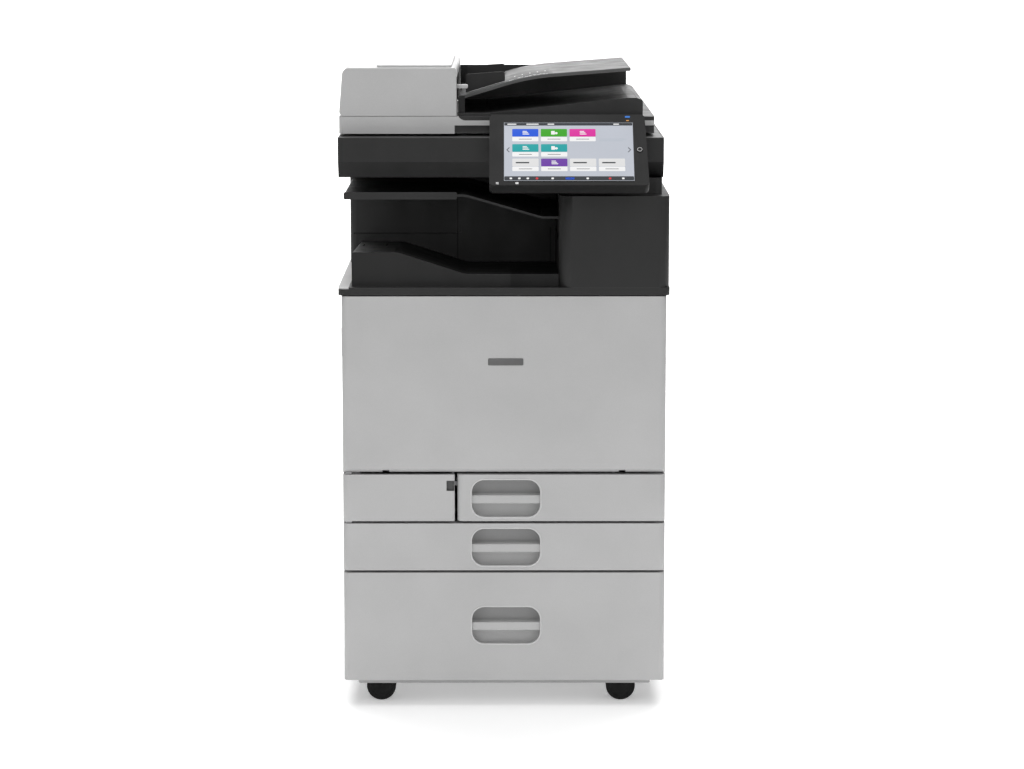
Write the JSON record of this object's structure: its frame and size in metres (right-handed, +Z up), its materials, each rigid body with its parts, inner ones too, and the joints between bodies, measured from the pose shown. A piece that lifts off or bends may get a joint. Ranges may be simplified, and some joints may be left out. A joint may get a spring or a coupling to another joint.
{
  "type": "photocopier",
  "caption": "Floor-standing office copier and printer with document feeder, tilting touch panel, pull-out paper drawers, hinged doors and casters.",
  "frame": {"origin": "on the floor, under the middle of the footprint, panel included", "axes": "+Z up, the front with its doors, drawers and panel faces -Y, +X to the right of someone who stands at the front"},
  "size_m": [0.598, 0.685, 1.171],
  "materials": {
    "case_grey": "fine textured moulded plastic",
    "case_dark": "fine textured moulded plastic",
    "guide_dark": "moulded plastic",
    "steel_sheet": "zinc plated sheet",
    "tray_plastic": "moulded plastic",
    "inner_black": "moulded plastic",
    "belt_black": "smooth film",
    "roller_rubber": "smooth rubber",
    "clear_glass": "clear float glass",
    "white_pad": "white sheet on foam",
    "screen_glass": "display behind glass",
    "button_grey": "satin",
    "waste_clear": "translucent bottle",
    "toner_black": "bottle",
    "toner_cyan": "bottle",
    "toner_magenta": "bottle",
    "toner_yellow": "bottle",
    "caster_black": "nylon",
    "caster_tyre": "hard nylon tread"
  },
  "bodies": {
    "machine": {"base_plate": "steel_sheet", "controller_box": "steel_sheet", "drum_units": "inner_black", "exit_tower": "case_dark", "fuser_frame": "inner_black", "laser_unit": "inner_black", "left_cover": "case_grey", "main_frame": "steel_sheet", "one_bin_tray": "case_dark", "output_tray": "case_dark", "panel_arm": "guide_dark", "platen_glass": "clear_glass", "power_inlet": "inner_black", "rear_cover": "case_grey", "right_cover": "case_grey", "scanner_base": "case_dark", "scanner_top": "case_dark", "top_deck": "case_dark", "transfer_belt_unit": "belt_black", "waste_toner_bottle": "waste_clear"},
    "front_door": {"front_door": "case_grey"},
    "waste_door": {"waste_toner_door": "case_grey"},
    "upper_drawer": {"upper_drawer_tub": "tray_plastic", "upper_drawer_front": "case_grey"},
    "middle_drawer": {"middle_drawer_tub": "tray_plastic", "middle_drawer_front": "case_grey"},
    "lower_drawer": {"lower_drawer_tub": "tray_plastic", "lower_drawer_front": "case_grey"},
    "upper_lift": {"upper_lift_plate": "steel_sheet"},
    "middle_lift": {"middle_lift_plate": "steel_sheet"},
    "lower_lift": {"lower_lift_plate": "steel_sheet"},
    "feeder": {"feeder_base": "case_grey", "platen_pad": "white_pad"},
    "feeder_cover": {"feeder_cover": "case_grey"},
    "feed_roller": {"feed_roller": "roller_rubber"},
    "input_tray": {"feeder_input_tray": "case_dark"},
    "front_guide": {"front_paper_guide": "guide_dark"},
    "rear_guide": {"rear_paper_guide": "guide_dark"},
    "panel": {"control_panel": "case_dark", "panel_screen": "screen_glass"},
    "home_button": {"home_button": "button_grey"},
    "right_door": {"right_door": "case_grey"},
    "bypass_tray": {"bypass_tray": "case_grey"},
    "switch_flap": {"power_switch_flap": "guide_dark"},
    "power_switch": {"power_switch": "button_grey"},
    "stop_fence": {"output_stop_fence": "case_dark"},
    "scan_carriage": {"scan_carriage": "inner_black"},
    "toner_bottle_1": {"toner_bottle_1": "toner_yellow"},
    "toner_bottle_2": {"toner_bottle_2": "toner_magenta"},
    "toner_bottle_3": {"toner_bottle_3": "toner_cyan"},
    "toner_bottle_4": {"toner_bottle_4": "toner_black"},
    "fuser_roller": {"fuser_roller": "roller_rubber"},
    "front_left_yoke": {"front_left_caster_yoke": "caster_black"},
    "front_left_wheel": {"front_left_caster_wheel": "caster_tyre"},
    "front_right_yoke": {"front_right_caster_yoke": "caster_black"},
    "front_right_wheel": {"front_right_caster_wheel": "caster_tyre"},
    "rear_left_yoke": {"rear_left_caster_yoke": "caster_black"},
    "rear_left_wheel": {"rear_left_caster_wheel": "caster_tyre"},
    "rear_right_yoke": {"rear_right_caster_yoke": "caster_black"},
    "rear_right_wheel": {"rear_right_caster_wheel": "caster_tyre"}
  },
  "joints": [
    {"name": "front_door_hinge", "type": "hinge", "parent": "machine", "child": "front_door", "pos_m": [0, -0.2565, 0.4441], "axis": [1, 0, 0], "range_deg": [0, 90]},
    {"name": "waste_door_hinge", "type": "hinge", "parent": "machine", "child": "waste_door", "pos_m": [-0.2835, -0.2525, 0.39], "axis": [0, 0, -1], "range_deg": [0, 90]},
    {"name": "upper_drawer_slide", "type": "slide", "parent": "machine", "child": "upper_drawer", "axis": [0, -1, 0], "range_m": [0, 0.4]},
    {"name": "middle_drawer_slide", "type": "slide", "parent": "machine", "child": "middle_drawer", "axis": [0, -1, 0], "range_m": [0, 0.4]},
    {"name": "lower_drawer_slide", "type": "slide", "parent": "machine", "child": "lower_drawer", "axis": [0, -1, 0], "range_m": [0, 0.4]},
    {"name": "upper_lift", "type": "hinge", "parent": "upper_drawer", "child": "upper_lift", "pos_m": [-0.065, -0.03, 0.3601], "axis": [0, -1, 0], "range_deg": [0, 9]},
    {"name": "middle_lift", "type": "hinge", "parent": "middle_drawer", "child": "middle_lift", "pos_m": [-0.236, -0.03, 0.2686], "axis": [0, -1, 0], "range_deg": [0, 6]},
    {"name": "lower_lift", "type": "slide", "parent": "lower_drawer", "child": "lower_lift", "axis": [0, 0, 1], "range_m": [0, 0.12]},
    {"name": "feeder_hinge", "type": "hinge", "parent": "machine", "child": "feeder", "pos_m": [0, 0.28, 1.061], "axis": [-1, 0, 0], "range_deg": [0, 60]},
    {"name": "feeder_cover_hinge", "type": "hinge", "parent": "feeder", "child": "feeder_cover", "pos_m": [-0.29, 0.028, 1.089], "axis": [0, -1, 0], "range_deg": [0, 75]},
    {"name": "feed_roller_spin", "type": "hinge", "parent": "feeder", "child": "feed_roller", "pos_m": [-0.125, 0.02, 1.114], "axis": [0, 1, 0], "continuous": true},
    {"name": "input_tray_hinge", "type": "hinge", "parent": "feeder", "child": "input_tray", "pos_m": [-0.077, 0.03, 1.111], "axis": [0, -1, 0], "range_deg": [0, 20]},
    {"name": "front_guide_slide", "type": "slide", "parent": "input_tray", "child": "front_guide", "axis": [0, 1, 0], "range_m": [0, 0.09]},
    {"name": "rear_guide_slide", "type": "slide", "parent": "input_tray", "child": "rear_guide", "axis": [0, -1, 0], "range_m": [0, 0.09]},
    {"name": "panel_tilt", "type": "hinge", "parent": "machine", "child": "panel", "pos_m": [0.116, -0.28, 0.985], "axis": [1, 0, 0], "range_deg": [0, 45]},
    {"name": "home_button_press", "type": "slide", "parent": "panel", "child": "home_button", "axis": [0, 0.7071, -0.7071], "range_m": [0, 0.0015], "stiffness_N_per_m": 400},
    {"name": "right_door_hinge", "type": "hinge", "parent": "machine", "child": "right_door", "pos_m": [0.287, 0.322, 0.6], "axis": [0, 0, 1], "range_deg": [0, 80]},
    {"name": "bypass_tray_hinge", "type": "hinge", "parent": "right_door", "child": "bypass_tray", "pos_m": [0.2895, 0.01, 0.526], "axis": [0, 1, 0], "range_deg": [0, 75]},
    {"name": "switch_flap_hinge", "type": "hinge", "parent": "machine", "child": "switch_flap", "pos_m": [-0.2925, -0.18, 0.693], "axis": [0, 1, 0], "range_deg": [0, 85]},
    {"name": "power_switch_rock", "type": "hinge", "parent": "machine", "child": "power_switch", "pos_m": [-0.283, -0.18, 0.6725], "axis": [0, 1, 0], "range_deg": [-8, 8]},
    {"name": "stop_fence_hinge", "type": "hinge", "parent": "machine", "child": "stop_fence", "pos_m": [-0.26, 0.01, 0.82], "axis": [0, -1, 0], "range_deg": [0, 80]},
    {"name": "carriage_travel", "type": "slide", "parent": "machine", "child": "scan_carriage", "axis": [1, 0, 0], "range_m": [0, 0.42]},
    {"name": "toner_bottle_1_spin", "type": "hinge", "parent": "machine", "child": "toner_bottle_1", "pos_m": [-0.195, 0, 0.7], "axis": [0, 1, 0], "continuous": true},
    {"name": "toner_bottle_2_spin", "type": "hinge", "parent": "machine", "child": "toner_bottle_2", "pos_m": [-0.095, 0, 0.7], "axis": [0, 1, 0], "continuous": true},
    {"name": "toner_bottle_3_spin", "type": "hinge", "parent": "machine", "child": "toner_bottle_3", "pos_m": [0.005, 0, 0.7], "axis": [0, 1, 0], "continuous": true},
    {"name": "toner_bottle_4_spin", "type": "hinge", "parent": "machine", "child": "toner_bottle_4", "pos_m": [0.105, 0, 0.7], "axis": [0, 1, 0], "continuous": true},
    {"name": "fuser_roller_spin", "type": "hinge", "parent": "machine", "child": "fuser_roller", "pos_m": [0.223, 0.04, 0.7], "axis": [0, 1, 0], "continuous": true},
    {"name": "front_left_swivel", "type": "hinge", "parent": "machine", "child": "front_left_yoke", "pos_m": [-0.2215, -0.1915, 0.06], "axis": [0, 0, 1], "continuous": true},
    {"name": "front_left_roll", "type": "hinge", "parent": "front_left_yoke", "child": "front_left_wheel", "pos_m": [-0.2275, -0.1915, 0.027], "axis": [0, 1, 0], "continuous": true},
    {"name": "front_right_swivel", "type": "hinge", "parent": "machine", "child": "front_right_yoke", "pos_m": [0.2215, -0.1915, 0.06], "axis": [0, 0, 1], "continuous": true},
    {"name": "front_right_roll", "type": "hinge", "parent": "front_right_yoke", "child": "front_right_wheel", "pos_m": [0.2155, -0.1915, 0.027], "axis": [0, 1, 0], "continuous": true},
    {"name": "rear_left_swivel", "type": "hinge", "parent": "machine", "child": "rear_left_yoke", "pos_m": [-0.2215, 0.2835, 0.06], "axis": [0, 0, 1], "continuous": true},
    {"name": "rear_left_roll", "type": "hinge", "parent": "rear_left_yoke", "child": "rear_left_wheel", "pos_m": [-0.2275, 0.2835, 0.027], "axis": [0, 1, 0], "continuous": true},
    {"name": "rear_right_swivel", "type": "hinge", "parent": "machine", "child": "rear_right_yoke", "pos_m": [0.2215, 0.2835, 0.06], "axis": [0, 0, 1], "continuous": true},
    {"name": "rear_right_roll", "type": "hinge", "parent": "rear_right_yoke", "child": "rear_right_wheel", "pos_m": [0.2155, 0.2835, 0.027], "axis": [0, 1, 0], "continuous": true}
  ],
  "couplings": [
    {"joint": "rear_guide_slide", "follows": "front_guide_slide", "ratio": 1}
  ]
}
